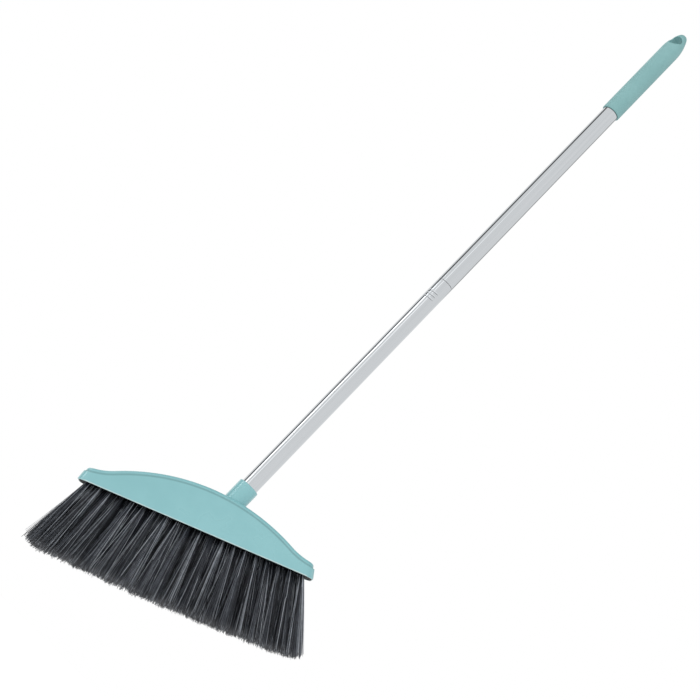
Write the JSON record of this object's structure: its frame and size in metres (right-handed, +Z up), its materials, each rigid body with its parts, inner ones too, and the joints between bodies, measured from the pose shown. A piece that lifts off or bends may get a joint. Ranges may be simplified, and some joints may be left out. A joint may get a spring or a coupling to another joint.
{
  "type": "broom",
  "caption": "Broom with an arched plastic head, fanned bristle tufts, a leaning screw socket and a two-part steel tube handle with a plastic grip and a hanging hole.",
  "frame": {"origin": "middle of the hanging hole in the grip, on the axis of the handle", "axes": "+Z up the handle as it hangs, +X towards the raised end of the head, +Y to the back of the head"},
  "size_m": [0.3717, 0.0706, 1.1908],
  "materials": {
    "shell_plastic": "satin moulded teal",
    "grip_plastic": "satin teal",
    "tube_steel": "polished",
    "insert_plastic": "moulded black",
    "block_plastic": "moulded black",
    "bristle_filament": "charcoal filament",
    "fastener_steel": "zinc plated"
  },
  "bodies": {
    "upper_handle": {"grip": "grip_plastic", "upper_tube": "tube_steel", "joint_socket": "insert_plastic"},
    "joint_carrier": {"joint_plug": "insert_plastic"},
    "lower_handle": {"lower_tube": "tube_steel"},
    "tip_carrier": {"threaded_tip": "insert_plastic"},
    "broom_head": {"head_shell": "shell_plastic", "brush_block": "block_plastic", "block_screws": "fastener_steel", "tuft_staples": "fastener_steel", "bristle_row_front": "bristle_filament", "bristle_row_inner_front": "bristle_filament", "bristle_row_middle": "bristle_filament", "bristle_row_inner_back": "bristle_filament", "bristle_row_back": "bristle_filament"}
  },
  "joints": [
    {"name": "joint_travel", "type": "slide", "parent": "upper_handle", "child": "joint_carrier", "axis": [0, 0, -1], "range_m": [0, 0.0141]},
    {"name": "joint_turn", "type": "hinge", "parent": "joint_carrier", "child": "lower_handle", "pos_m": [0, 0, -0.5229], "axis": [0, 0, -1], "range_deg": [0, 1260]},
    {"name": "socket_turn", "type": "hinge", "parent": "lower_handle", "child": "tip_carrier", "pos_m": [0, 0, -0.9179], "axis": [0, 0, -1], "range_deg": [0, 1260]},
    {"name": "socket_travel", "type": "slide", "parent": "tip_carrier", "child": "broom_head", "axis": [0, 0, -1], "range_m": [0, 0.0176]}
  ],
  "couplings": [
    {"joint": "joint_travel", "follows": "joint_turn", "m_per_rad": 0.00063662},
    {"joint": "socket_travel", "follows": "socket_turn", "m_per_rad": 0.00079577}
  ]
}
